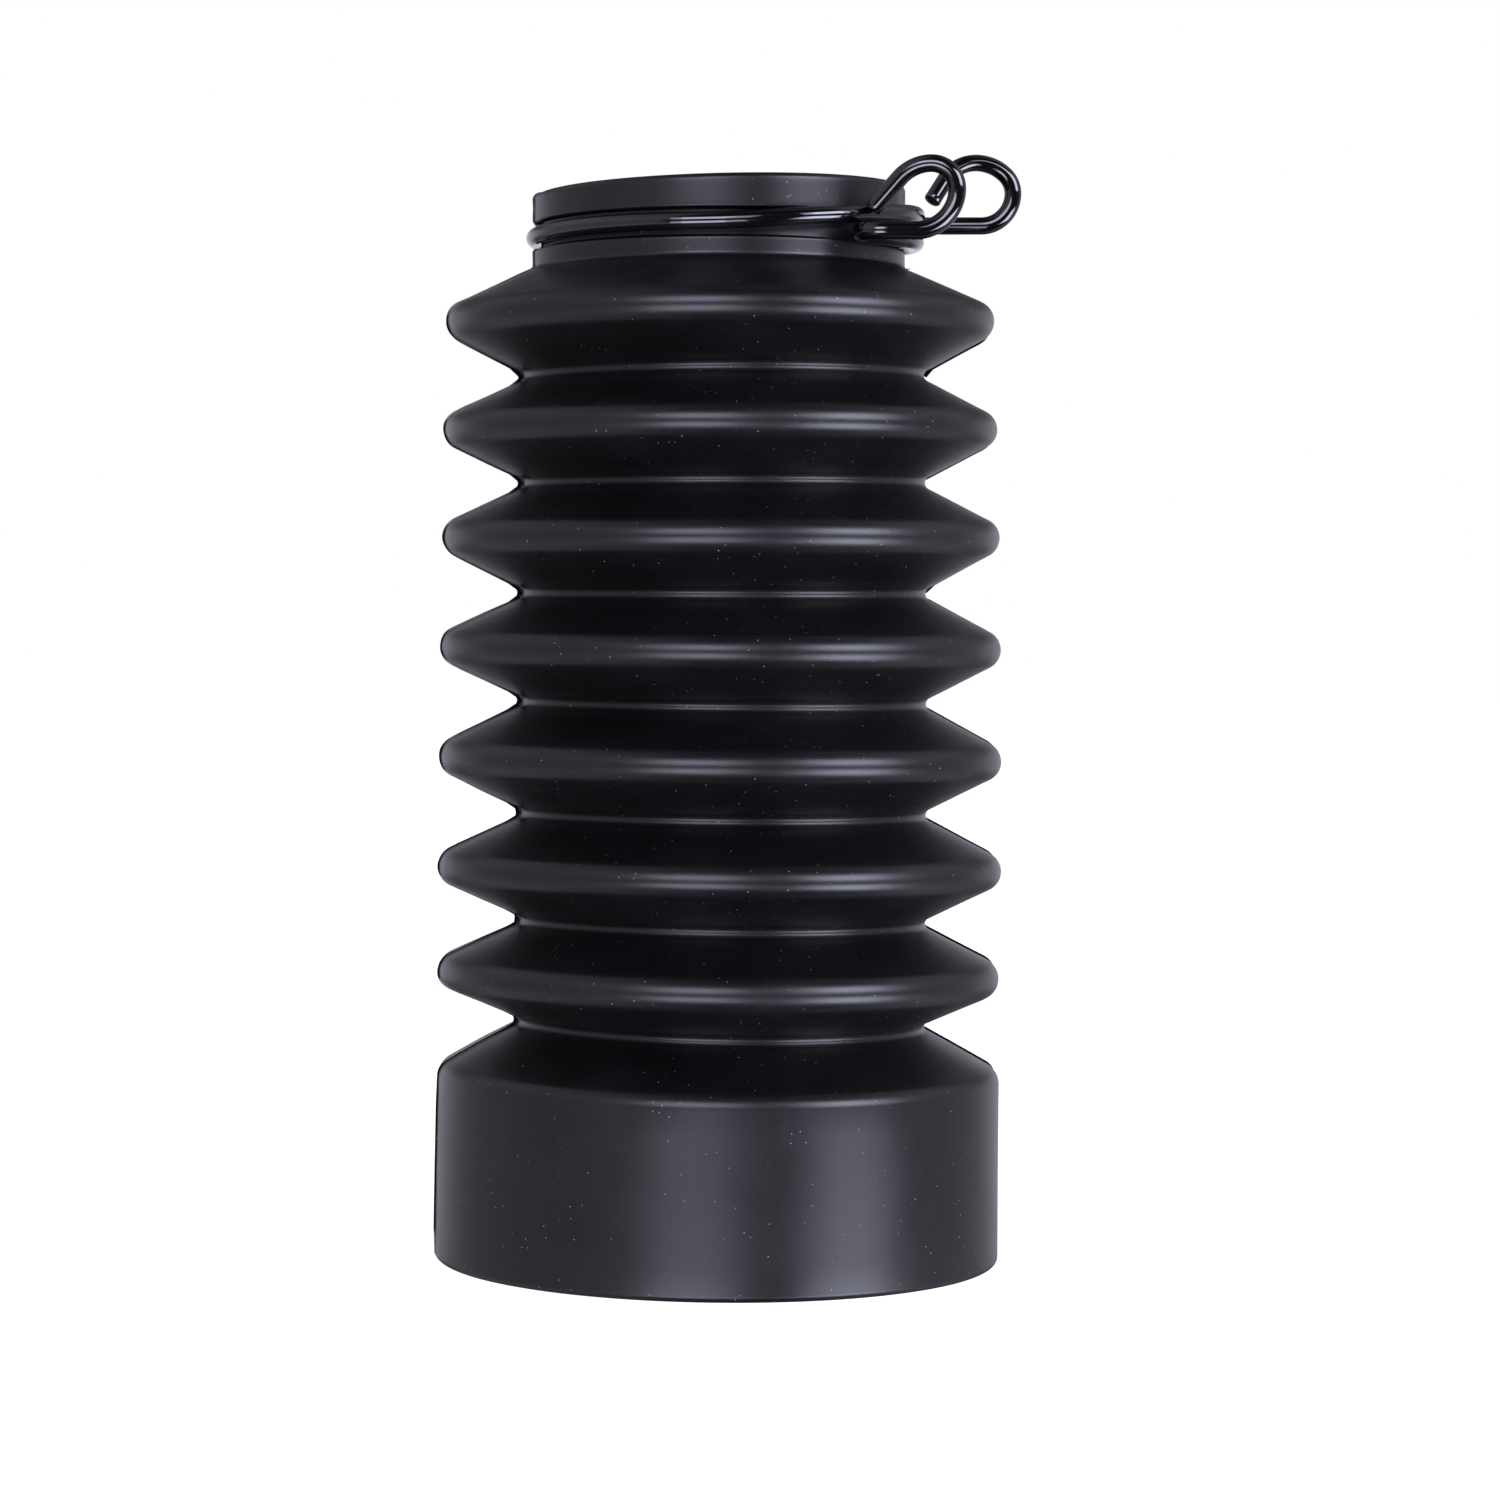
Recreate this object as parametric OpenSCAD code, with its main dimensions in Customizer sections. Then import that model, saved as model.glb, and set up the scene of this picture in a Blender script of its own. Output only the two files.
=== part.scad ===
// Rubber bellows boot: a moulded sleeve with seven folds between a neck and a wider cuff,
// and a spring wire clip that closes round the groove in the neck.
// Millimetres. The origin is the centre of the cuff's open end, and +Z runs up the axis to the neck.
// The clip's two eyes stand out towards +X, the near eye on the -Y side and the far eye on the +Y side.

/* [Overall] */
// Height from the cuff's open end to the neck's top edge
height = 110; // [90:1:140]

/* [Neck] */
// Bore of the neck
neck_bore_d = 32; // [24:0.5:34]
// Outside diameter of the neck
neck_d = 38.2; // [36.4:0.2:42]
// Height of the neck's straight wall
neck_h = 8.3; // [7.6:0.1:14]
// Height of the collar above the groove
collar_h = 3.6; // [2.6:0.1:4.2]
// Width of the groove for the clip
groove_w = 2.8; // [2.4:0.1:3]
// Depth of the groove
groove_depth = 0.9; // [0.5:0.1:1]
// Rounding of the neck's top edge
neck_edge_r = 0.9; // [0.3:0.1:1.2]

/* [Bellows] */
// Number of folds
folds = 7; // [5:1:8]
// Outside diameter over the first fold, below the neck
top_crest_d = 56.6; // [50:0.1:60]
// Outside diameter over the last fold, above the cuff
end_crest_d = 58.7; // [52:0.1:60]
// Outside diameter in the first valley, below the first fold
top_root_d = 41.7; // [40:0.1:46]
// Outside diameter in the last valley, above the cuff
end_root_d = 42.4; // [40:0.1:46]
// Rounding of the folds' outer edges
crest_round = 2; // [1.8:0.1:2.4]
// Rounding of the valleys
root_round = 0.7; // [0.4:0.1:1]
// Thickness of the wall in the folds
wall = 1.6; // [1.2:0.1:1.7]

/* [Cuff] */
// Bore of the cuff
cuff_bore_d = 50; // [44:0.5:53]
// Outside diameter of the cuff at its open end
cuff_d = 58.4; // [57:0.1:62]
// How much narrower the cuff is under its shoulder
cuff_draft = 0.3; // [0:0.1:1]
// Height of the cuff's outside wall
cuff_h = 19.2; // [14:0.1:26]
// Rounding of the cuff's shoulder
shoulder_round = 1.8; // [1:0.1:2.4]
// Rounding of the cuff's bottom edge
cuff_edge_r = 0.9; // [0.3:0.1:1.4]

/* [Wire clip] */
// Diameter of the spring wire
wire_d = 1.8; // [1.4:0.1:2]
// Radii of the near eye along the middle of the wire: foot, outer side, crown and back
near_eye_r = [4.15, 2.6, 2.6, 4.1]; // [2.4:0.05:5]
// Radii of the far eye along the middle of the wire: foot, outer side, crown and back
far_eye_r = [3.3, 2.95, 4.6, 3.7]; // [2.4:0.05:5]
// Length of the straight leg before the near eye
near_leg = 3.05; // [2.5:0.05:7]
// Length of the straight leg before the far eye
far_leg = 6.55; // [4:0.05:9]
// Length of the straight tail behind the near eye
near_tail = 4.1; // [2:0.1:4.4]
// Length of the straight tail behind the far eye
far_tail = 2.7; // [2:0.1:4.4]
// Radius of the two bends that turn the ring's ends outwards
bend_r = 2.1; // [1.8:0.1:2.6]

/* [Hidden] */

// Rings: how finely arcs are drawn
ARC_FN = 72;
BODY_FN = 180;
WIRE_SIDES = 12;
RING_STEP = 3;
BEND_STEP = 12;
EYE_STEP = 11;

// Small roundings that only take off sharpness
LIP_R = 0.4;
GROOVE_EDGE_R = 0.25;
FLARE_R = 0.6;

// Heights of the neck and of the folds, from the cuff's open end
flare_z = height - neck_h;
groove_top_z = height - collar_h;
groove_floor_z = groove_top_z - groove_w;
// The first crest lies less than half a pitch below the neck, and the shoulder follows the last valley
FIRST_CREST = 0.474;
LAST_ROOT = 0.456;
SHOULDER = 0.903;
pitch = (flare_z - cuff_h) / (folds - 1 + FIRST_CREST + SHOULDER);

// Slope of the flanks: the line that touches the crest's circle and the valley's circle
mean_crest_r = (top_crest_d + end_crest_d) / 4;
mean_root_r = (top_root_d + end_root_d) / 4;
reach = mean_crest_r - crest_round - mean_root_r - root_round;
span = sqrt(pow(reach, 2) + pow(pitch / 2, 2));
flank = atan2(pitch / 2, reach) - asin((crest_round + root_round) / span);
// A sharp corner stands this many roundings beyond its rounded tip
tip = 1 / sin(flank) - 1;
// The inside face's corners lie this far inwards of the outside's
inset = wall / sin(flank);

// Place of the clip: its ring lies in the groove with a little play, and its end climbs over the ring
PLAY = 0.05;
wire_r = wire_d / 2;
neck_r = neck_d / 2;
seat_r = neck_r - groove_depth + wire_r + PLAY;
ride_r = neck_r + wire_r + PLAY;
seat_z = groove_top_z - groove_w / 2;
low_z = seat_z - 0.45 * wire_d;
high_z = seat_z + 1.25 * wire_d;
// Angles round the neck, from +X and anticlockwise seen from above
NEAR_BEND = -44;
FAR_BEND = 380;
// Angles at which an eye's radius changes, from the leg, and how far each eye turns in all
EYE_PARTS = [0, 90, 135, 180];
NEAR_SWEEP = 229;
FAR_SWEEP = 237;

// Radius and height of the crest with this number and of the valley under it, counted from the neck
function crest_r(i) = (top_crest_d + (end_crest_d - top_crest_d) * i / (folds - 1)) / 2;
function root_r(i) = (top_root_d + (end_root_d - top_root_d) * i / (folds - 1)) / 2;
function crest_z(i) = flare_z - (i + FIRST_CREST) * pitch;
function root_z(i) = crest_z(i) - (i == folds - 1 ? LAST_ROOT : 0.5) * pitch;

// Corners of the outside, from the cuff's open end up to the neck, each as [radius, height, rounding]
function outside() = let(shoulder_r = (cuff_d - cuff_draft) / 2)
    concat(
        [[0, 0, 0], [cuff_d / 2, 0, cuff_edge_r], [shoulder_r, cuff_h, shoulder_round]],
        [for (i = [folds - 1:-1:0]) each [
            [root_r(i) - root_round * tip, root_z(i), root_round],
            [crest_r(i) + crest_round * tip, crest_z(i), crest_round]]],
        [
            [neck_r, flare_z, FLARE_R],
            [neck_r, groove_floor_z, GROOVE_EDGE_R],
            [neck_r - groove_depth, groove_floor_z, GROOVE_EDGE_R],
            [neck_r - groove_depth, groove_top_z, GROOVE_EDGE_R],
            [neck_r, groove_top_z, GROOVE_EDGE_R],
            [neck_r, height, neck_edge_r],
            [0, height, 0]]);

// Corners of the inside, in the same order
function inside() = let(
        shoulder_r = (cuff_d - cuff_draft) / 2,
        shoulder_slope = atan2(root_z(folds - 1) - cuff_h, shoulder_r - root_r(folds - 1) + root_round * tip),
        flare_slope = atan2(flare_z - crest_z(0), crest_r(0) + crest_round * tip - neck_r),
        cuff_top = cuff_h + (shoulder_r - cuff_bore_d / 2) * tan(shoulder_slope) - wall / cos(shoulder_slope),
        neck_end = flare_z + (neck_r - neck_bore_d / 2) * tan(flare_slope) - wall / cos(flare_slope))
    concat(
        [[0, -1, 0], [cuff_bore_d / 2, -1, 0], [cuff_bore_d / 2, cuff_top, LIP_R]],
        [for (i = [folds - 1:-1:0]) each [
            [root_r(i) - root_round * tip - inset, root_z(i), root_round + wall],
            [crest_r(i) + crest_round * tip - inset, crest_z(i), crest_round - wall]]],
        [[neck_bore_d / 2, neck_end, LIP_R], [neck_bore_d / 2, height + 1, 0], [0, height + 1, 0]]);

function unit(v) = v / norm(v);

// The arc that rounds corner i of a list: [centre, first touching point, second, radius, outward?]
function arc_at(c, i) = let(
        p = [c[i][0], c[i][1]],
        before = unit([c[i - 1][0], c[i - 1][1]] - p),
        after = unit([c[i + 1][0], c[i + 1][1]] - p),
        half = acos(before * after) / 2,
        setback = c[i][2] / tan(half),
        turn = after[0] * before[1] - after[1] * before[0])
    [p + unit(before + after) * c[i][2] / sin(half), p + before * setback, p + after * setback,
        c[i][2], turn > 0];

// A flat outline with its corners rounded by true arcs
module rounded_outline(c) {
    last = len(c) - 1;
    arcs = [for (i = [1:last - 1]) if (c[i][2] > 0) arc_at(c, i)];
    difference() {
        union() {
            polygon([for (i = [0:last]) each c[i][2] > 0
                ? [arc_at(c, i)[1], arc_at(c, i)[2]]
                : [[c[i][0], c[i][1]]]]);
            for (a = arcs) if (a[4]) translate(a[0]) circle(r = a[3], $fn = ARC_FN);
        }
        for (a = arcs) if (!a[4]) translate(a[0]) circle(r = a[3], $fn = ARC_FN);
    }
}

// Section of the chamfer that opens the neck's bore
module lead_in() {
    r = neck_bore_d / 2;
    polygon([[r - 1, height + 1], [r + LIP_R + 1, height + 1], [r, height - LIP_R], [r - 1, height - LIP_R]]);
}

// The moulded rubber sleeve
module boot() {
    color([0.13, 0.13, 0.14])
    rotate_extrude($fn = BODY_FN)
    difference() {
        rounded_outline(outside());
        rounded_outline(inside());
        lead_in();
    }
}

// A smooth change from 0 to 1 while a runs from a0 to a1
function ease(a, a0, a1) = let(t = min(1, max(0, (a - a0) / (a1 - a0)))) t * t * (3 - 2 * t);

// Middle line of the ring at angle a: it starts low outside the groove, sinks into it, runs level
// round the neck, and climbs out onto the collar to pass over its own start
function ring_r(a) = ride_r + (seat_r - ride_r) * (ease(a, -20, 70) - ease(a, 272, 308));
function ring_z(a) = low_z + (seat_z - low_z) * ease(a, NEAR_BEND, 60)
    + (high_z - seat_z) * ease(a, 262, 365);
function ring_point(a) = [ring_r(a) * cos(a), ring_r(a) * sin(a), ring_z(a)];

// Arc of a bend, from the ring outwards, at height z
function bend(a, from, to, z) = let(c = (ring_r(a) + bend_r) * [cos(a), sin(a)])
    [for (b = [from:(to - from) / round(abs(to - from) / BEND_STEP):to])
        [c[0] + bend_r * cos(b), c[1] + bend_r * sin(b), z]];

// Arc of an eye in an upright plane, which leads on from p while its direction turns from one angle to another
function eye_arc(p, r, from, to) = let(steps = round((to - from) / EYE_STEP))
    [for (k = [1:steps]) let(b = from + (to - from) * k / steps)
        p + r * [sin(b) - sin(from), 0, cos(from) - cos(b)]];

// Eye: four arcs, each of its own radius, above the leg's end at p, then the straight tail
function eye(p, r, sweep, tail) = let(
        a = eye_arc(p, r[0], EYE_PARTS[0], EYE_PARTS[1]),
        b = eye_arc(a[len(a) - 1], r[1], EYE_PARTS[1], EYE_PARTS[2]),
        c = eye_arc(b[len(b) - 1], r[2], EYE_PARTS[2], EYE_PARTS[3]),
        d = eye_arc(c[len(c) - 1], r[3], EYE_PARTS[3], sweep))
    concat([p], a, b, c, d, [d[len(d) - 1] + tail * [cos(sweep), 0, sin(sweep)]]);

function reversed(list) = [for (i = [len(list) - 1:-1:0]) list[i]];

// Middle line of the whole wire, from the near eye's tail to the far eye's tail
function wire_line() = let(
        near_c = (ring_r(NEAR_BEND) + bend_r) * [cos(NEAR_BEND), sin(NEAR_BEND)],
        far_c = (ring_r(FAR_BEND) + bend_r) * [cos(FAR_BEND), sin(FAR_BEND)])
    concat(
        reversed(eye([near_c[0] + near_leg, near_c[1] - bend_r, low_z], near_eye_r, NEAR_SWEEP, near_tail)),
        bend(NEAR_BEND, 270, NEAR_BEND + 180, low_z),
        [for (a = [NEAR_BEND + RING_STEP:RING_STEP:FAR_BEND - RING_STEP]) ring_point(a)],
        bend(FAR_BEND, FAR_BEND - 180, 90, high_z),
        eye([far_c[0] + far_leg, far_c[1] + bend_r, high_z], far_eye_r, FAR_SWEEP, far_tail));

// Directions along a line of points, and sideways directions carried along it without twist
function tangents(p) = [for (i = [0:len(p) - 1])
    unit(p[min(i + 1, len(p) - 1)] - p[max(i - 1, 0)])];
function carried(n, t) = unit(n - (n * t) * t);
function sideways(t) = [for (i = 0, n = carried([0, 1, 0], t[0]); i < len(t);
    i = i + 1, n = i < len(t) ? carried(n, t[i]) : n) n];

// A round wire along a line of points, with flat ends
module wire(p, r) {
    t = tangents(p);
    n = sideways(t);
    last = len(p) - 1;
    skin = [for (i = [0:last]) for (k = [0:WIRE_SIDES - 1]) let(b = 360 * k / WIRE_SIDES)
        p[i] + r * (cos(b) * n[i] + sin(b) * cross(t[i], n[i]))];
    sides = [for (i = [0:last - 1]) for (k = [0:WIRE_SIDES - 1]) let(
            here = i * WIRE_SIDES,
            next = (k + 1) % WIRE_SIDES)
        each [
            [here + k, here + WIRE_SIDES + k, here + WIRE_SIDES + next],
            [here + k, here + WIRE_SIDES + next, here + next]]];
    start_face = [for (k = [0:WIRE_SIDES - 1]) k];
    end_face = [for (k = [WIRE_SIDES - 1:-1:0]) last * WIRE_SIDES + k];
    polyhedron(points = skin, faces = concat(sides, [start_face, end_face]));
}

// The spring wire clip: a ring of one turn and a quarter, with an eye at each end
module wire_clip() {
    color([0.07, 0.07, 0.08])
    wire(wire_line(), wire_r);
}

boot();
wire_clip();
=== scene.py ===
# Looks of the rubber bellows boot and its spring wire clip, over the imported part, with light and camera
import math

import bpy
import numpy as np
from mathutils import Matrix


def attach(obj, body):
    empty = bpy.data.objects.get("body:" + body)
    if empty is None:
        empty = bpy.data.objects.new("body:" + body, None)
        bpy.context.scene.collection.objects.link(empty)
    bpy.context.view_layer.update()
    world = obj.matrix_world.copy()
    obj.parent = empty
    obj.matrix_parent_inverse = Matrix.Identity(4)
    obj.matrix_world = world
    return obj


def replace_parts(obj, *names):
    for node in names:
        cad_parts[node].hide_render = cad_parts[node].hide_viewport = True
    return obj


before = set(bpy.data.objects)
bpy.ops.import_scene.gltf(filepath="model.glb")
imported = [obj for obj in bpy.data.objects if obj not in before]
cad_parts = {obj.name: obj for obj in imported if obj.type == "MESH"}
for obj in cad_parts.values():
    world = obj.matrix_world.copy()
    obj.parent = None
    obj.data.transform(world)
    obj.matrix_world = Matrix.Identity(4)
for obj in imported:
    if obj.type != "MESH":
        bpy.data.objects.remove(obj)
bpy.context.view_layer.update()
print("frame loaded:", ", ".join(sorted(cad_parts)))

mm = 0.001


def hexColour(text):
    # sRGB hex value to linear red, green and blue, by the sRGB curve, and a full alpha
    parts = [int(text[i:i + 2], 16) / 255 for i in (1, 3, 5)]
    return tuple(c / 12.92 if c <= 0.04045 else ((c + 0.055) / 1.055) ** 2.4 for c in parts) + (1.0,)


def addNode(tree, kind, values=None, links=None, **settings):
    # one node: settings are its own options, values fill its sockets, links bring other sockets in
    node = tree.nodes.new(kind)
    for name, value in settings.items():
        setattr(node, name, value)
    for socket, value in (values or {}).items():
        node.inputs[socket].default_value = value
    for socket, source in (links or {}).items():
        tree.links.new(source, node.inputs[socket])
    return node


def emptyMaterial(name):
    # a new material with its node tree cleared, and its output node
    material = bpy.data.materials.new(name)
    material.use_nodes = True
    material.node_tree.nodes.clear()
    return material, addNode(material.node_tree, "ShaderNodeOutputMaterial")


def gridMesh(name, points, wrapRows, material, poles=()):
    # points is rows x columns x 3 in millimetres, closed along the columns. Each cell is one quad;
    # rows close too when wrapRows is set, and otherwise each pole point closes an end with a fan.
    rows, columns = points.shape[:2]
    index = np.arange(rows * columns).reshape(rows, columns)
    here = index if wrapRows else index[:-1]
    ahead = np.roll(index, -1, 0) if wrapRows else index[1:]
    quads = np.stack([here, np.roll(here, -1, 1), np.roll(ahead, -1, 1), ahead], -1).reshape(-1, 4)
    corners = [quads.ravel()]
    sizes = [np.full(len(quads), 4)]
    flat = points.reshape(-1, 3)
    for end, pole in enumerate(poles):
        ring = index[0][::-1] if end == 0 else index[-1]
        fan = np.stack([ring, np.roll(ring, -1), np.full(columns, len(flat))], -1)
        flat = np.vstack([flat, pole])
        corners.append(fan.ravel())
        sizes.append(np.full(columns, 3))
    corners, sizes = np.concatenate(corners), np.concatenate(sizes)
    mesh = bpy.data.meshes.new(name)
    mesh.vertices.add(len(flat))
    mesh.vertices.foreach_set("co", (flat * mm).astype(np.float32).ravel())
    mesh.loops.add(len(corners))
    mesh.loops.foreach_set("vertex_index", corners.astype(np.int32))
    mesh.polygons.add(len(sizes))
    mesh.polygons.foreach_set("loop_start", (np.cumsum(sizes) - sizes).astype(np.int32))
    mesh.polygons.foreach_set("use_smooth", np.ones(len(sizes), bool))
    mesh.update(calc_edges=True)
    mesh.validate()
    mesh.materials.append(material)
    piece = bpy.data.objects.new(name, mesh)
    bpy.context.scene.collection.objects.link(piece)
    return piece


def ease(x, start, end):
    # smooth change from 0 to 1 while x runs from start to end: 3 t squared less 2 t cubed
    t = np.clip((x - start) / (end - start), 0, 1)
    return t * t * (3 - 2 * t)


def band(x, start, full, fade, end):
    # eases up from 0 to 1 between start and full, and down again between fade and end
    return ease(x, start, full) * (1 - ease(x, fade, end))


# Standing on its cuff, the soft sleeve isn't quite straight: by height, its rings shift sideways along X,
# lie a little high or low, tip about Y and nod about X, in millimetres and degrees. These were set against
# the photograph, at the edge of each fold and in each valley. The clip on the neck goes with them.
lean = {
    "shift": [(0, 0.0), (24, -0.04), (40, -0.08), (57, -0.16), (80, -0.44), (96, -0.68), (110, -0.73)],
    "lift": [(0, 0.0), (12, 0.27), (19, 0.54), (22, 0.52), (24, 0.38), (29, 0.11), (35, 0.1), (40.5, -0.1),
             (46, 0.03), (52, 0.06), (57, 0.31), (63, 0.32), (68, 0.33), (74, 0.53), (80, 0.44), (85, 0.34),
             (91, 0.17), (96, 0.31), (102, 0.22)],
    "tip": [(0, 0.0), (12, 0.1), (19, 0.24), (24, 0.55), (29, 0.24), (35, 0.2), (40.5, -0.03), (46, -0.1),
            (52, -0.01), (57, -0.07), (63, -0.28), (68, -0.5), (74, -0.54), (80, -0.85), (85, -0.72),
            (91, -1.1), (96, -0.76), (102, -0.72), (110, -0.8), (115, -0.5)],
    "nod": [(0, 0.0), (19, 0.0), (24, -0.2), (29, -0.5), (35, -0.9), (40.5, -0.66), (46, -0.42),
            (52, -0.31), (57, 0.2), (63, 0.3), (68, 0.53), (74, 0.69), (80, 0.59), (85, 0.33), (91, 0.0),
            (96, -0.11), (102, -0.15), (105, -0.35), (108, -0.1), (110, 0.0)],
}


def leanOver(points):
    # x gains the shift of its height, and z gains the lift, loses x times the tip and gains y times the nod
    x, y, z = np.moveaxis(points, -1, 0)
    shift, lift, tip, nod = (np.interp(z, *zip(*lean[name])) for name in ("shift", "lift", "tip", "nod"))
    return np.stack([x + shift, y, z + lift - x * np.radians(tip) + y * np.radians(nod)], -1)


# The sleeve, in millimetres and degrees. Its sizes are those of the part's source, apart from the two
# outer edges, neckEdge and cuffEdge, which are 0.9 mm there. Where two numbers give heights or radii, an
# effect starts and is full there, and where four do, it then fades and ends.
sleeve = {
    "height": 110.0,
    "neckBore": 32.0, "neckWidth": 38.2, "neckHeight": 8.3, "neckEdge": 0.6,
    "collarHeight": 3.6, "grooveWidth": 2.8, "grooveDepth": 0.9,
    "folds": 7, "topCrest": 56.6, "endCrest": 58.7, "topValley": 41.7, "endValley": 42.4,
    "crestRound": 2.0, "valleyRound": 0.7, "wall": 1.6,
    "cuffBore": 50.0, "cuffWidth": 58.4, "cuffDraft": 0.3, "cuffHeight": 19.2,
    "shoulderRound": 1.8, "cuffEdge": 0.65,
    # small roundings, and the chamfer that opens the neck's bore
    "flareRound": 0.6, "grooveRound": 0.25, "boreRound": 0.4, "cuffLip": 0.12, "neckChamfer": 0.4,
    "chamferRound": 0.1,
    # in pitches: the first crest below the neck, and the last valley and the shoulder below the last crest
    "firstCrest": 0.474, "lastValley": 0.456, "shoulder": 0.903,
    # the mesh: degrees of its first column round the axis and of the step between columns; then, outside
    # and inside, degrees to a step of an arc and the points of a straight stretch with both its ends
    "firstColumn": 1, "columnStep": 2.25, "arcStep": (9, 20), "flatPoints": (5, 3),
    # The soft wall strays from a true circle by a ripple: waves, each a share, a count round the sleeve,
    # and the radians that it turns per millimetre of height and starts at. The ends have none.
    "ripple": 0.06, "waves": [(1.0, 2, 0.11, 1.3), (0.6, 3, -0.23, 0.0), (0.4, 5, 0.31, 2.0)],
    "rippleHeights": (2, 24, 96, 102), "wallRadii": (19, 27),
    "wallBack": 0.05,                       # how far the wall lies in at the left
    # the valleys' rings sit to the right of the crests', by this much at their left and right ends; out
    # along the flanks, between these two radii, that fades
    "valleyLeft": 0.35, "valleyRight": 0.14,
    "valleyHeights": (20, 25, 92, 97), "valleyRadii": (21.2, 27),
    "collarShift": -0.2, "collarHeights": (99, 103),        # the collar is off to the left in the clip
    "rimDrop": 0.18, "rimTip": 1.35, "rimHeights": (107, 110),   # the neck's rim is cut low and aslant
    # Thin flash along the mould's parting line: the line's angle, and the flash's height at the left, in
    # the valleys there, and at the right. The profile is degrees from its middle and shares of its height,
    # and the mesh has some more columns beside it.
    "flashAngle": 8.0, "flashLeft": 0.22, "flashInValleys": 0.5, "flashRight": 0.25,
    "flashProfile": [(0.03, 1.0), (0.045, 0.9), (0.085, 0.1), (0.1, 0.0)],
    "flashColumns": [0.05, 0.08, 0.8], "flashValleys": (20.5, 20.8, 21.0, 21.9), "flashHeights": (0.3, 1.0),
    # wear takes up to twice this share off it at the left, in slow waves that sway round the sleeve times
    # quick ones, all in radians
    "flashWear": 0.15, "wearSlow": 0.9, "wearSway": 2.0, "wearQuick": 2.3, "wearStart": 1.0,
    # nubs on the flash at the right: height on the sleeve, how far out and half length
    "nubs": [(101.9, 0.6, 0.4), (100.5, 0.4, 0.2), (91.4, 0.38, 0.35), (68.9, 0.28, 0.3)],
}


def sleeveCorners():
    # Outside then inside, one closed list of [radius, height, rounding], from the cuff's bore outwards,
    # and how many are outside. Crests are a pitch apart with a valley half way. A flank is the line that
    # touches a crest's circle and a valley's; its sharp corners stand 1 / sin(flank) - 1 roundings beyond
    # the round ones, and the wall's inside lies 1 / sin(flank) walls further in.
    s = sleeve
    flareZ = s["height"] - s["neckHeight"]
    grooveTop = s["height"] - s["collarHeight"]
    grooveFloor = grooveTop - s["grooveWidth"]
    count = s["folds"]
    pitch = (flareZ - s["cuffHeight"]) / (count - 1 + s["firstCrest"] + s["shoulder"])
    i = np.arange(count)
    crestR = (s["topCrest"] + (s["endCrest"] - s["topCrest"]) * i / (count - 1)) / 2
    crestZ = flareZ - (i + s["firstCrest"]) * pitch
    rootZ = crestZ - np.where(i == count - 1, s["lastValley"], 0.5) * pitch
    valleyR = (s["topValley"] + (s["endValley"] - s["topValley"]) * i / (count - 1)) / 2
    rounds = s["crestRound"] + s["valleyRound"]
    reach = crestR.mean() - valleyR.mean() - rounds
    flank = math.atan2(pitch / 2, reach) - math.asin(rounds / math.hypot(reach, pitch / 2))
    beyond = 1 / math.sin(flank) - 1
    inset = s["wall"] / math.sin(flank)
    rootR = valleyR - s["valleyRound"] * beyond
    crestCorner = crestR + s["crestRound"] * beyond
    shoulderR = (s["cuffWidth"] - s["cuffDraft"]) / 2
    neckR, boreR, cuffR = s["neckWidth"] / 2, s["neckBore"] / 2, s["cuffBore"] / 2
    shoulderSlope = math.atan2(rootZ[-1] - s["cuffHeight"], shoulderR - rootR[-1])
    flareSlope = math.atan2(flareZ - crestZ[0], crestCorner[0] - neckR)
    cuffTop = s["cuffHeight"] + (shoulderR - cuffR) * math.tan(shoulderSlope) \
        - s["wall"] / math.cos(shoulderSlope)
    neckEnd = flareZ + (neckR - boreR) * math.tan(flareSlope) - s["wall"] / math.cos(flareSlope)
    grooveR = neckR - s["grooveDepth"]
    outside = [[cuffR, 0, s["cuffLip"]], [s["cuffWidth"] / 2, 0, s["cuffEdge"]],
               [shoulderR, s["cuffHeight"], s["shoulderRound"]]]
    for k in i[::-1]:
        outside += [[rootR[k], rootZ[k], s["valleyRound"]], [crestCorner[k], crestZ[k], s["crestRound"]]]
    outside += [[neckR, flareZ, s["flareRound"]]]
    for r, z in ((neckR, grooveFloor), (grooveR, grooveFloor), (grooveR, grooveTop), (neckR, grooveTop)):
        outside += [[r, z, s["grooveRound"]]]
    outside += [[neckR, s["height"], s["neckEdge"]]]
    inside = [[boreR + s["neckChamfer"], s["height"], s["chamferRound"]],
              [boreR, s["height"] - s["neckChamfer"], s["chamferRound"]], [boreR, neckEnd, s["boreRound"]]]
    for k in i:
        inside += [[crestCorner[k] - inset, crestZ[k], s["crestRound"] - s["wall"]],
                   [rootR[k] - inset, rootZ[k], s["valleyRound"] + s["wall"]]]
    inside += [[cuffR, cuffTop, s["boreRound"]]]
    return np.array(outside + inside), len(outside)


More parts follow.
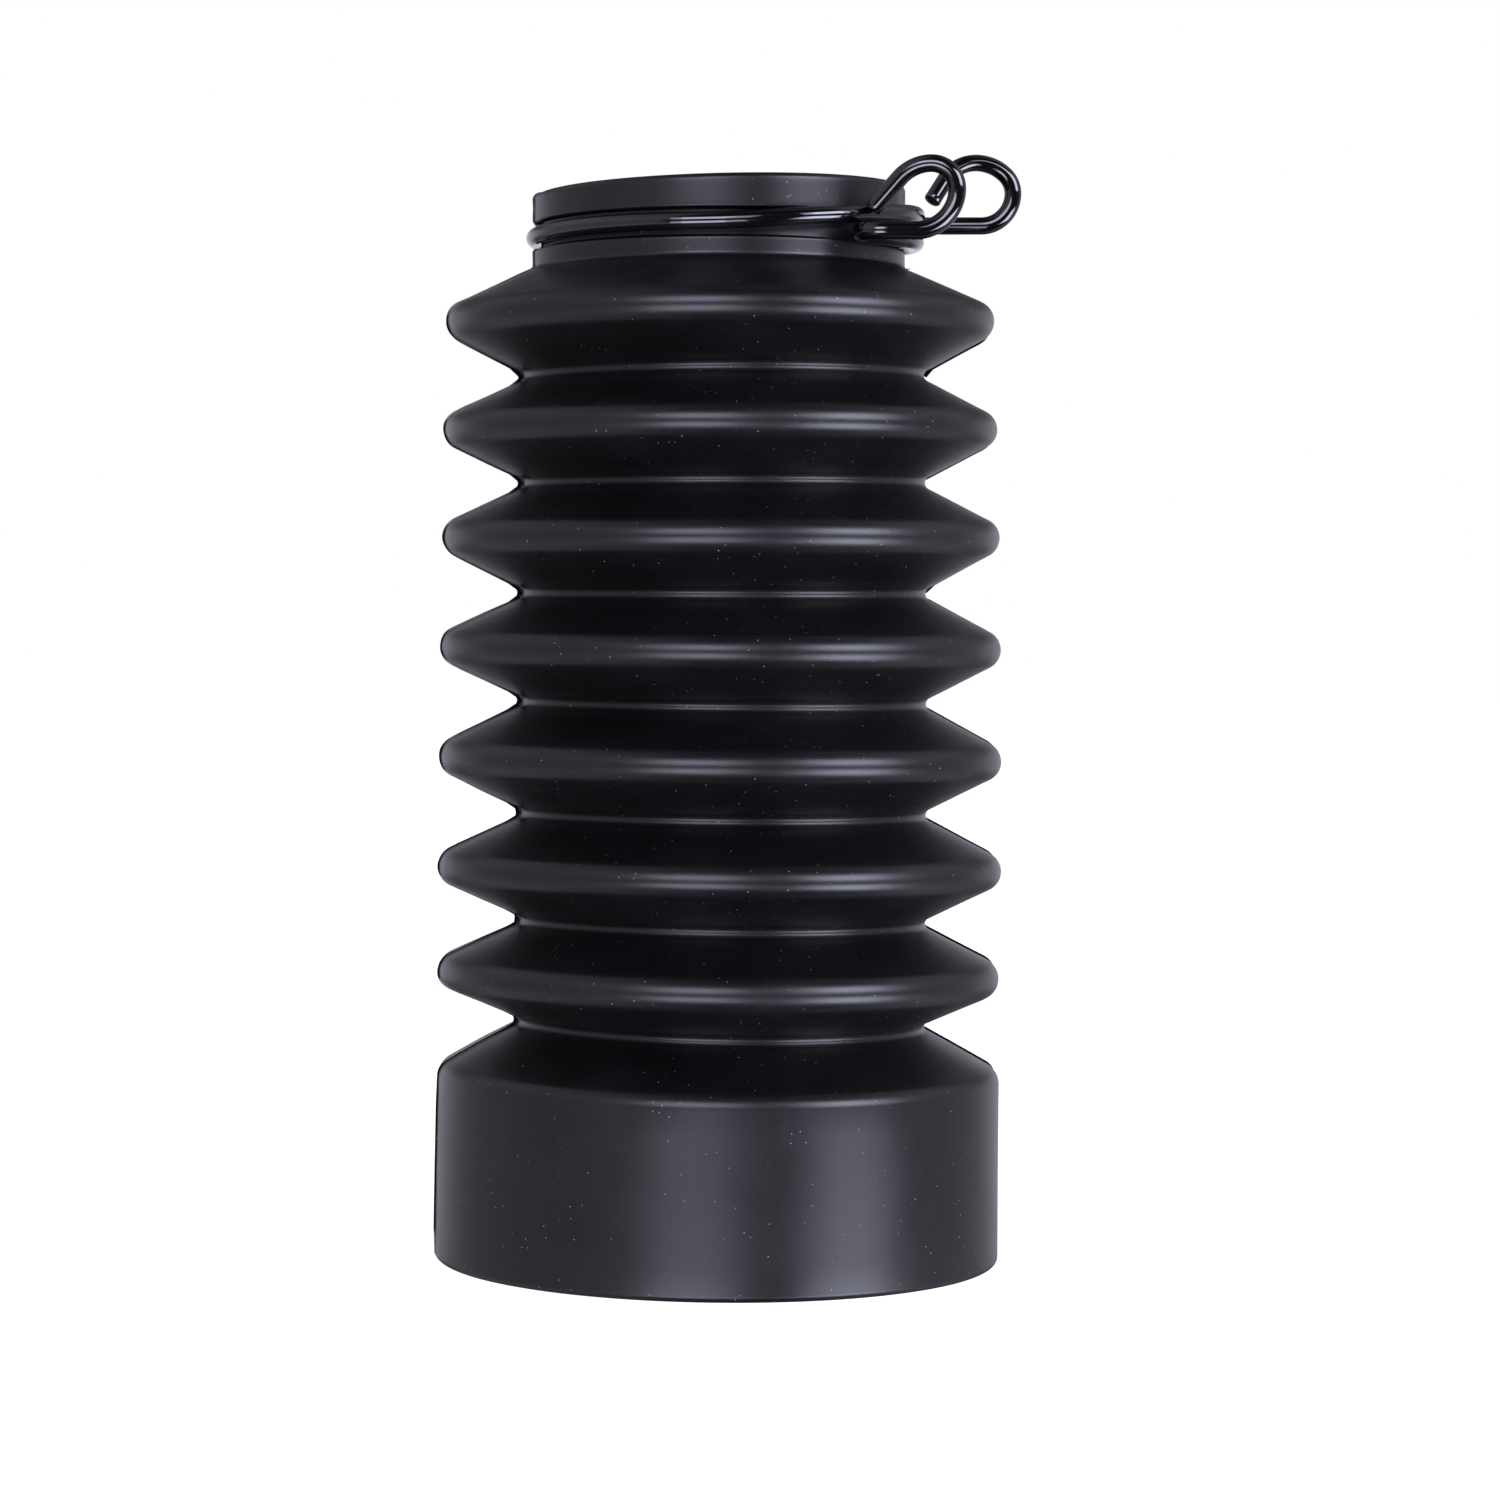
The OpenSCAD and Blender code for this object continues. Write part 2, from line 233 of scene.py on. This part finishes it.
def roundedLoop(corners, outer):
    # Each corner becomes an arc that touches both of its sides; the straight stretch to the next arc
    # gets points at (1 - cos) / 2, crowded at its ends. The first corners, outside, get the finer arcs.
    # Gives [radius, height, corner number].
    place, rounding = corners[:, :2], corners[:, 2]
    before, after = np.roll(place, 1, 0) - place, np.roll(place, -1, 0) - place
    before /= np.linalg.norm(before, axis=1)[:, None]
    after /= np.linalg.norm(after, axis=1)[:, None]
    half = np.arccos(np.clip((before * after).sum(1), -1, 1)) / 2
    setback = rounding / np.tan(half)
    middle = before + after
    centre = place + middle / np.linalg.norm(middle, axis=1)[:, None] * (rounding / np.sin(half))[:, None]
    first, last = place + before * setback[:, None], place + after * setback[:, None]
    loop = []
    for k in range(len(corners)):
        inside = int(k >= outer)
        start = math.atan2(*(first[k] - centre[k])[::-1])
        turn = (math.atan2(*(last[k] - centre[k])[::-1]) - start + math.pi) % (2 * math.pi) - math.pi
        steps = max(2, round(abs(turn) / math.radians(sleeve["arcStep"][inside])))
        a = start + turn * np.linspace(0, 1, steps + 1)
        arc = centre[k] + rounding[k] * np.stack([np.cos(a), np.sin(a)], 1)
        t = (1 - np.cos(np.pi * np.linspace(0, 1, sleeve["flatPoints"][inside])[1:-1])) / 2
        flat = last[k] + (first[(k + 1) % len(corners)] - last[k]) * t[:, None]
        both = np.vstack([arc, flat])
        loop.append(np.column_stack([both, np.full(len(both), k)]))
    return np.vstack(loop)


def flashHeight(r, z, a):
    # How far the flash stands out of the wall: a worn height at the left, with more in the valleys, and at
    # the right an even height with the nubs, each a smooth bump. The two blend by the cosine of the angle,
    # and the profile leaves the flash only close to the parting line.
    s = sleeve
    left = (1 - np.cos(a)) / 2
    fromLine = np.degrees(np.abs((a - math.radians(s["flashAngle"]) + math.pi / 2) % math.pi - math.pi / 2))
    slow, quick = s["wearSlow"] * z + s["wearSway"] * np.cos(a), s["wearQuick"] * z + s["wearStart"]
    worn = 1 - s["flashWear"] + s["flashWear"] * np.sin(slow) * np.sin(quick)
    atLeft = s["flashLeft"] * worn + (s["flashInValleys"] - s["flashLeft"]) * band(r, *s["flashValleys"])
    nub = sum(tall * (1 - ease(np.abs(z - level), half / 2, half)) for level, tall, half in s["nubs"])
    height = left * atLeft + (1 - left) * (s["flashRight"] + nub)
    return height * np.interp(fromLine, *zip(*s["flashProfile"])) * ease(z, *s["flashHeights"])


def rubberSleeve(material):
    # Surface of revolution of the rounded loop: (r cos a, r sin a, z). r gains the ripple, the sum of its
    # waves' sines, and outside the flash is added square to the wall. Then the rings of the valleys and of
    # the collar slide along X, and the rim drops by a constant less x times the tangent of its tip.
    s = sleeve
    corners, outer = sleeveCorners()
    loop = roundedLoop(corners, outer)
    near = np.array([angle for angle, share in s["flashProfile"]] + s["flashColumns"])
    near = s["flashAngle"] + np.concatenate([-near, [0], near])
    angle = np.concatenate([np.arange(s["firstColumn"], 360, s["columnStep"]), near, near + 180])
    a = np.radians(np.unique(np.round(angle, 4)))[None, :]
    r, z, corner = [column[:, None] for column in loop.T]
    left = (1 - np.cos(a)) / 2
    onFolds = ease(r, *s["wallRadii"])
    wave = sum(share * np.sin(count * a + turn * z + start) for share, count, turn, start in s["waves"])
    ripple = s["ripple"] * band(z, *s["rippleHeights"]) * wave * onFolds
    ridge = flashHeight(r, z, a) * (corner < outer)
    step = np.roll(loop[:, :2], -1, 0) - np.roll(loop[:, :2], 1, 0)
    length = np.hypot(*step.T)[:, None]
    outwardR, outwardZ = step[:, 1:] / length, -step[:, :1] / length
    radius = r + ripple - s["wallBack"] * left * onFolds + ridge * outwardR
    inValleys = (1 - ease(r, *s["valleyRadii"])) * band(z, *s["valleyHeights"])
    slide = (left * s["valleyLeft"] + (1 - left) * s["valleyRight"]) * inValleys
    x = radius * np.cos(a) + s["collarShift"] * ease(z, *s["collarHeights"]) + slide
    drop = (s["rimDrop"] - x * math.tan(math.radians(s["rimTip"]))) * ease(z, *s["rimHeights"])
    points = np.stack([x, radius * np.sin(a), z + ridge * outwardZ - drop], -1)
    piece = gridMesh("rubber_sleeve", leanOver(points), True, material)
    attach(piece, "root")
    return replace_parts(piece, "boot")


# The clip's wire, in millimetres and degrees, the same as in the part's source apart from the eyes' yaw and
# lean. Angles of the ring run anticlockwise from +X.
clip = {
    "wire": 1.8, "bend": 2.1, "play": 0.05,
    "nearBend": -44, "nearLeg": 3.05, "nearEye": [4.15, 2.6, 2.6, 4.1], "nearSweep": 229, "nearTail": 4.1,
    "farBend": 380, "farLeg": 6.55, "farEye": [3.3, 2.95, 4.6, 3.7], "farSweep": 237, "farTail": 2.7,
    "eyeParts": [90, 135, 180],             # where an eye's radius changes
    "sinkIn": (-20, 70), "comeOut": (272, 308),     # where the ring enters and leaves the groove
    "levelAt": 60, "climb": (262, 365),     # where the ring is level, and climbs over its start
    "lowDrop": 0.45, "highRise": 1.25,      # how far its ends lie below and above, in widths of the wire
    # the eyes aren't upright: the near one turns about Z, and past the crown both lean along Y and Z, by
    # these parts of the wire's run
    "nearYaw": 5.5, "farYaw": 0.0,
    "nearLean": (0.26, 0.0), "farLean": (-0.3, -0.06), "leanFrom": (100, 200),
    "step": 0.3, "sides": 24, "endChamfer": 0.12, "endFlat": 0.4,
    # points of the first, fine line: degrees round the ring, and counts for a bend, an eye and a tail
    "ringStep": 0.1, "bendPoints": 400, "eyePoints": 1000, "tailPoints": 200,
}


def clipLine():
    # Middle line of the wire and how upright its sideways direction is: an eye, a leg, a bend, a ring
    # of one turn and a quarter whose radius and height ease from one level to the next, and back again
    s, c = sleeve, clip
    wireR, neckR = c["wire"] / 2, s["neckWidth"] / 2
    rideR = neckR + wireR + c["play"]
    seatR = rideR - s["grooveDepth"]
    seatZ = s["height"] - s["collarHeight"] - s["grooveWidth"] / 2
    lowZ, highZ = seatZ - c["lowDrop"] * c["wire"], seatZ + c["highRise"] * c["wire"]

    def ringR(a):
        return rideR + (seatR - rideR) * (ease(a, *c["sinkIn"]) - ease(a, *c["comeOut"]))

    def ringZ(a):
        sunk = lowZ + (seatZ - lowZ) * ease(a, c["nearBend"], c["levelAt"])
        return sunk + (highZ - seatZ) * ease(a, *c["climb"])

    def bendCentre(a):
        return (ringR(a) + c["bend"]) * np.array([math.cos(math.radians(a)), math.sin(math.radians(a))])

    def bend(a, start, end, z):
        b = np.radians(np.linspace(start, end, c["bendPoints"]))
        x, y = bendCentre(a)
        return np.stack([x + c["bend"] * np.cos(b), y + c["bend"] * np.sin(b), 0 * b + z], 1)

    def eye(name, side, z):
        # from the leg's end, beside the bend's middle, the direction turns evenly and each step is as long
        # as the radius of its arc says, then comes a straight tail
        yaw, leg, sweep, tail = (c[name + part] for part in ("Yaw", "Leg", "Sweep", "Tail"))
        yaw = math.radians(yaw)
        x, y = bendCentre(c[name + "Bend"])
        start = [x - side * c["bend"] * math.sin(yaw) + leg * math.cos(yaw),
                 y + side * c["bend"] * math.cos(yaw) + leg * math.sin(yaw), z]
        b = np.radians(np.linspace(0, sweep, c["eyePoints"]))
        middle = (b[1:] + b[:-1]) / 2
        step = np.diff(b) * np.array(c[name + "Eye"])[np.digitize(middle, np.radians(c["eyeParts"]))]
        run = np.concatenate([step, np.full(c["tailPoints"], tail / c["tailPoints"])])
        way = np.concatenate([middle, np.full(c["tailPoints"], b[-1])])
        leaning = run * ease(way, *np.radians(c["leanFrom"]))
        leanY, leanZ = c[name + "Lean"]
        ahead = run * np.cos(way)
        moves = [ahead * math.cos(yaw), ahead * math.sin(yaw) + leaning * leanY,
                 run * np.sin(way) + leaning * leanZ]
        return np.array(start) + np.vstack([[0, 0, 0], np.cumsum(np.stack(moves, 1), axis=0)])

    a = np.arange(c["nearBend"] + c["ringStep"], c["farBend"] - c["ringStep"] / 2, c["ringStep"])
    ring = np.stack([ringR(a) * np.cos(np.radians(a)), ringR(a) * np.sin(np.radians(a)), ringZ(a)], 1)
    nearEye, farEye = eye("near", -1, lowZ), eye("far", 1, highZ)
    parts = [nearEye[::-1], bend(c["nearBend"], 270 + c["nearYaw"], c["nearBend"] + 180, lowZ), ring,
             bend(c["farBend"], c["farBend"] - 180, 90 + c["farYaw"], highZ), farEye]
    line = np.vstack(parts)
    upright = np.concatenate([np.zeros(len(nearEye)), np.ones(len(line) - len(nearEye) - len(farEye)),
                              np.zeros(len(farEye))])
    along = np.concatenate([[0], np.cumsum(np.linalg.norm(np.diff(line, axis=0), axis=1))])
    even = np.linspace(0, along[-1], round(along[-1] / c["step"]))
    return np.stack([np.interp(even, along, column) for column in (*line.T, upright)], 1)


def springWireClip(material):
    # Round wire: at each point of the line a circle of the wire's radius, square to it, sideways times
    # cos b plus other times sin b. Sideways is Y in the eyes and Z round the ring, and turns from one to
    # the other on a leg. At both ends the body stops a chamfer short, and narrower circles lie in the
    # end's plane.
    line = clipLine()
    centre, upright = line[:, :3], ease(line[:, 3], 0, 1) * math.pi / 2
    tangent = np.gradient(centre, axis=0)
    tangent /= np.linalg.norm(tangent, axis=1)[:, None]
    side = np.stack([0 * upright, np.cos(upright), np.sin(upright)], 1)
    side -= (side * tangent).sum(1)[:, None] * tangent
    side /= np.linalg.norm(side, axis=1)[:, None]
    other = np.cross(tangent, side)
    chamfer, radius = clip["endChamfer"], clip["wire"] / 2
    pick = np.concatenate([[0, 0], np.arange(1, len(centre) - 1), [-1, -1]])
    spots, size = centre[pick], np.full(len(pick), radius)
    spots[2], spots[-3] = centre[0] + tangent[0] * chamfer, centre[-1] - tangent[-1] * chamfer
    size[[1, -2]], size[[0, -1]] = radius - chamfer, clip["endFlat"]
    b = np.linspace(0, 2 * math.pi, clip["sides"], endpoint=False)[:, None]
    circle = side[pick][:, None] * np.cos(b) + other[pick][:, None] * np.sin(b)
    points = spots[:, None] + circle * size[:, None, None]
    piece = gridMesh("spring_wire_clip", leanOver(points), False, material, leanOver(centre[[0, -1]]))
    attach(piece, "root")
    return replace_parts(piece, "wire_clip")


# Black rubber, moulded in a blasted steel mould: near black, satin, with a fine even grain, a faint
# grey bloom in patches and a few specks of dust. The mould's halves met on ground faces, so the flash
# between them came out smooth and glossy. Sizes are in millimetres. A blasted grain is finer than 0.1 mm,
# too fine to show here, so it's drawn at 0.3 mm.
rubberLook = {
    "colour": "#070708", "bloom": "#0e0e10", "dust": "#9a9aa0", "ior": 1.5,
    "roughness": 0.31, "roughnessInPatches": 0.37, "flashRoughness": 0.08,
    "flashBand": 0.06, "flashEdge": 0.078,      # how far from the parting line the gloss is full, and gone
    "grain": 0.3, "grainHeight": 0.006, "grainDetail": 3.0,
    "bloomSize": 9.0, "bloomDetail": 5.0, "bloomFrom": 0.4, "bloomTo": 0.75,
    "patchesFrom": 0.3, "patchesTo": 0.8, "smallerShare": 0.6,
    "dustGap": 1.0, "speckCore": 0.03, "speckEdge": 0.06,
}


def mouldedRubber():
    # noise in two sizes gives the bloom and the grain, and the middles of some cells the dust
    material, output = emptyMaterial("mouldedBlackRubber")
    tree, look = material.node_tree, rubberLook
    place = addNode(tree, "ShaderNodeTexCoord").outputs["Object"]
    patches = addNode(tree, "ShaderNodeTexNoise", {"Scale": 1 / (look["bloomSize"] * mm),
                      "Detail": look["bloomDetail"], "Roughness": look["smallerShare"]}, {"Vector": place})
    bloom = addNode(tree, "ShaderNodeMapRange",
                    {"From Min": look["bloomFrom"], "From Max": look["bloomTo"]},
                    {"Value": patches.outputs["Fac"]})
    base = addNode(tree, "ShaderNodeMix", {"A": hexColour(look["colour"]), "B": hexColour(look["bloom"])},
                   {"Factor": bloom.outputs["Result"]}, data_type="RGBA")
    cells = addNode(tree, "ShaderNodeTexVoronoi", {"Scale": 1 / (look["dustGap"] * mm)}, {"Vector": place})
    speck = addNode(tree, "ShaderNodeMapRange",
                    {"From Min": look["speckEdge"], "From Max": look["speckCore"]},
                    {"Value": cells.outputs["Distance"]})
    dusty = addNode(tree, "ShaderNodeMix", {"B": hexColour(look["dust"])},
                    {"Factor": speck.outputs["Result"], "A": base.outputs["Result"]}, data_type="RGBA")
    # the flash lies in the plane through the axis at the parting line's angle: 0 on it, 1 away from it
    line = math.radians(sleeve["flashAngle"])
    across = addNode(tree, "ShaderNodeVectorMath", {1: (-math.sin(line), math.cos(line), 0)}, {0: place},
                     operation="DOT_PRODUCT")
    aside = addNode(tree, "ShaderNodeMath", links={0: across.outputs["Value"]}, operation="ABSOLUTE")
    body = addNode(tree, "ShaderNodeMapRange",
                   {"From Min": look["flashBand"] * mm, "From Max": look["flashEdge"] * mm},
                   {"Value": aside.outputs["Value"]})
    grain = addNode(tree, "ShaderNodeTexNoise", {"Scale": 1 / (look["grain"] * mm),
                    "Detail": look["grainDetail"], "Roughness": look["smallerShare"]}, {"Vector": place})
    relief = addNode(tree, "ShaderNodeBump", {"Distance": look["grainHeight"] * mm},
                     {"Strength": body.outputs["Result"], "Height": grain.outputs["Fac"]})
    satin = addNode(tree, "ShaderNodeMapRange",
                    {"From Min": look["patchesFrom"], "From Max": look["patchesTo"],
                     "To Min": look["roughness"], "To Max": look["roughnessInPatches"]},
                    {"Value": patches.outputs["Fac"]})
    rough = addNode(tree, "ShaderNodeMix", {"A": look["flashRoughness"]},
                    {"Factor": body.outputs["Result"], "B": satin.outputs["Result"]}, data_type="FLOAT")
    shader = addNode(tree, "ShaderNodeBsdfPrincipled", {"IOR": look["ior"], "Metallic": 0.0},
                     {"Base Color": dusty.outputs["Result"], "Roughness": rough.outputs["Result"],
                      "Normal": relief.outputs["Normal"]})
    tree.links.new(shader.outputs["BSDF"], output.inputs["Surface"])
    return material


# Spring steel wire, dipped in black lacquer: deep black with sharp highlights, slightly uneven where the
# lacquer dried in low waves 1.6 mm wide
wireLook = {
    "colour": "#050506", "ior": 1.7, "roughness": 0.05, "roughnessInWaves": 0.11,
    "wavesFrom": 0.3, "wavesTo": 0.8, "waveWidth": 1.6, "waveHeight": 0.001, "waveDetail": 2.0,
}


def lacqueredWire():
    # one soft noise gives the lacquer's low waves and how rough it is
    material, output = emptyMaterial("blackLacqueredSpringWire")
    tree, look = material.node_tree, wireLook
    place = addNode(tree, "ShaderNodeTexCoord").outputs["Object"]
    waves = addNode(tree, "ShaderNodeTexNoise", {"Scale": 1 / (look["waveWidth"] * mm),
                    "Detail": look["waveDetail"]}, {"Vector": place})
    relief = addNode(tree, "ShaderNodeBump", {"Strength": 1.0, "Distance": look["waveHeight"] * mm},
                     {"Height": waves.outputs["Fac"]})
    rough = addNode(tree, "ShaderNodeMapRange",
                    {"From Min": look["wavesFrom"], "From Max": look["wavesTo"],
                     "To Min": look["roughness"], "To Max": look["roughnessInWaves"]},
                    {"Value": waves.outputs["Fac"]})
    shader = addNode(tree, "ShaderNodeBsdfPrincipled",
                     {"Base Color": hexColour(look["colour"]), "IOR": look["ior"], "Metallic": 0.0},
                     {"Roughness": rough.outputs["Result"], "Normal": relief.outputs["Normal"]})
    tree.links.new(shader.outputs["BSDF"], output.inputs["Surface"])
    return material


sleevePiece = rubberSleeve(mouldedRubber())
print("rubber sleeve:", len(sleevePiece.data.polygons), "faces")
clipPiece = springWireClip(lacqueredWire())
print("spring wire clip:", len(clipPiece.data.polygons), "faces")

# A glowing white table, as product photographers use, in a room that is dark behind the camera
studio = {
    # metres; the table lies just under the cuff
    "tableRadius": 3.0, "tableCorners": 96, "tableGap": 0.00002,
    "tableGlow": 0.92, "tableColour": "#e6e6e6", "tableRoughness": 0.9,
    # how bright the walls are by the degrees round from the camera, and a factor by height, -1 to 1
    "wallRound": [(-180, 0.12), (-150, 0.15), (-120, 0.45), (-60, 0.5), (-38, 0.46), (-28, 0.05),
                  (34, 0.03), (78, 0.05), (92, 0.46), (120, 0.45), (150, 0.15), (180, 0.12)],
    "wallUpAndDown": [(-1, 0.6), (-0.8, 1.0), (-0.5, 1.35), (-0.25, 1.0), (0.25, 1.0), (0.5, 1.35),
                      (0.8, 1.0), (1, 0.6)],
    # the same for the low white backdrop behind the sleeve
    "backdropRound": [(-180, 0.85), (-150, 0.7), (-122, 0.0), (122, 0.0), (150, 0.7), (180, 0.85)],
    "backdropUpAndDown": [(-1, 0.0), (-0.28, 0.0), (-0.12, 1.0), (0.12, 1.0), (0.28, 0.0), (1, 0.0)],
    "white": "#ffffff", "roomColour": "#eff1ff", "lightColour": "#e6e8ff",
    # each soft box: angles round and up to its middle, its width and height in degrees, and its brightness
    "lights": {
        "leftUpper": (-10, 24, 33, 24, 5.0), "leftLower": (-10, -24, 33, 24, 5.0),
        "rightUpper": (56, 24, 33, 24, 7.7), "rightLower": (56, -24, 33, 24, 7.7),
    },
    # a box's two layers: distance, spread of its width and share of its brightness
    "layers": [("Wide", 1.6, 1.15, 0.5), ("Core", 1.5, 0.78, 0.6)],
    "aimHeight": 0.055,     # the boxes face this height on the axis
}


def whiteTable():
    # a round table top: one face of many corners, r cos a and r sin a, just under the cuff
    corners, r = studio["tableCorners"], studio["tableRadius"]
    a = np.linspace(0, 2 * math.pi, corners, endpoint=False)
    mesh = bpy.data.meshes.new("table_top")
    places = np.stack([r * np.cos(a), r * np.sin(a), 0 * a - studio["tableGap"]], 1)
    mesh.from_pydata(places.tolist(), [], [list(range(corners))])
    material, output = emptyMaterial("frostedWhiteAcrylic")
    shader = addNode(material.node_tree, "ShaderNodeBsdfPrincipled",
                     {"Base Color": hexColour(studio["tableColour"]), "Roughness": studio["tableRoughness"],
                      "Specular IOR Level": 0.0, "Emission Color": hexColour(studio["white"]),
                      "Emission Strength": studio["tableGlow"]})
    material.node_tree.links.new(shader.outputs["BSDF"], output.inputs["Surface"])
    mesh.materials.append(material)
    top = bpy.data.objects.new("table_top", mesh)
    bpy.context.scene.collection.objects.link(top)
    top.visible_glossy = False      # the rubber mirrors the lights and surroundings, not the table
    top.visible_shadow = False


def readCurve(tree, value, low, high, points):
    # brightness read along a broken line through the points, by a value that runs from low to high
    scaled = addNode(tree, "ShaderNodeMapRange", {"From Min": low, "From Max": high}, {"Value": value})
    node = addNode(tree, "ShaderNodeFloatCurve", links={"Value": scaled.outputs["Result"]})
    curve = node.mapping.curves[0]
    spots = [((x - low) / (high - low), y) for x, y in points]
    curve.points[0].location, curve.points[1].location = spots[0], spots[-1]
    for spot in spots[1:-1]:
        curve.points.new(*spot)
    for point in curve.points:
        point.handle_type = "VECTOR"
    node.mapping.update()
    return node.outputs["Value"]


def surroundings():
    # Seen directly the room is white. As light it is the walls plus the backdrop, each a curve by the angle
    # round, the arctangent of x over -y, times a curve by height.
    world = bpy.data.worlds.new("paleStudio")
    world.use_nodes = True
    bpy.context.scene.world = world
    tree = world.node_tree
    tree.nodes.clear()
    way = addNode(tree, "ShaderNodeTexCoord").outputs["Object"]
    part = addNode(tree, "ShaderNodeSeparateXYZ", links={"Vector": way}).outputs
    ahead = addNode(tree, "ShaderNodeMath", {1: -1.0}, {0: part["Y"]}, operation="MULTIPLY")
    turn = addNode(tree, "ShaderNodeMath", links={0: part["X"], 1: ahead.outputs["Value"]},
                   operation="ARCTAN2")
    around = turn.outputs["Value"]

    def glowOf(name):
        angles = [(math.radians(angle), bright) for angle, bright in studio[name + "Round"]]
        return addNode(tree, "ShaderNodeMath", operation="MULTIPLY", links={
            0: readCurve(tree, around, -math.pi, math.pi, angles),
            1: readCurve(tree, part["Z"], -1, 1, studio[name + "UpAndDown"])}).outputs["Value"]

    level = addNode(tree, "ShaderNodeMath", links={0: glowOf("wall"), 1: glowOf("backdrop")},
                    operation="ADD")
    seen = addNode(tree, "ShaderNodeLightPath").outputs["Is Camera Ray"]
    strength = addNode(tree, "ShaderNodeMix", {"B": 1.0}, {"Factor": seen, "A": level.outputs["Value"]},
                       data_type="FLOAT")
    colour = addNode(tree, "ShaderNodeMix",
                     {"A": hexColour(studio["roomColour"]), "B": hexColour(studio["white"])},
                     {"Factor": seen}, data_type="RGBA")
    glow = addNode(tree, "ShaderNodeBackground", links={"Color": colour.outputs["Result"],
                                                        "Strength": strength.outputs["Result"]})
    tree.links.new(glow.outputs["Background"], addNode(tree, "ShaderNodeOutputWorld").inputs["Surface"])


def softLights():
    # Soft boxes that face the middle of the sleeve, each a wide one with a narrower one in front of it, so
    # that its ends fade. A side is twice the distance times the tangent of half its angle, and power is
    # brightness times four times the area.
    boxes = [(name + layer, around, up, distance, wide * spread, tall, brightness * share)
             for name, (around, up, wide, tall, brightness) in studio["lights"].items()
             for layer, distance, spread, share in studio["layers"]]
    for name, around, up, distance, wide, tall, brightness in boxes:
        lamp = bpy.data.lights.new(name, "AREA")
        lamp.shape = "RECTANGLE"
        lamp.size, lamp.size_y = (2 * distance * math.tan(math.radians(side) / 2) for side in (wide, tall))
        lamp.energy = 4 * lamp.size * lamp.size_y * brightness
        lamp.color = hexColour(studio["lightColour"])[:3]
        light = bpy.data.objects.new(name, lamp)
        aim = Matrix.Rotation(math.radians(around), 4, "Z") @ Matrix.Rotation(math.radians(90 - up), 4, "X")
        light.matrix_world = Matrix.Translation((0, 0, studio["aimHeight"])) @ aim \
            @ Matrix.Translation((0, 0, distance))
        light.visible_camera = False
        bpy.context.scene.collection.objects.link(light)


whiteTable()
surroundings()
softLights()
print("studio ready")

# The camera stands 420 mm in front of the axis, a little above the middle; the shift brings the sleeve
# left of the frame's middle, as in the photograph. Millimetres, the roll in degrees, the shift in frames.
view = {
    "distance": 420, "height": 66.9, "aim": 52.59, "roll": 0.7,
    "lens": 97.54, "sensor": 36, "shift": 0.01877,
}
cameraData = bpy.data.cameras.new("photographCamera")
cameraData.lens, cameraData.sensor_width, cameraData.shift_x = view["lens"], view["sensor"], view["shift"]
camera = bpy.data.objects.new("photographCamera", cameraData)
down = math.atan2(view["height"] - view["aim"], view["distance"])
turned = Matrix.Rotation(math.pi / 2 - down, 4, "X") @ Matrix.Rotation(math.radians(view["roll"]), 4, "Z")
camera.matrix_world = Matrix.Translation((0, -view["distance"] * mm, view["height"] * mm)) @ turned
bpy.context.scene.collection.objects.link(camera)
bpy.context.scene.camera = camera
bpy.context.scene.view_settings.view_transform = "Standard"
print("camera ready")
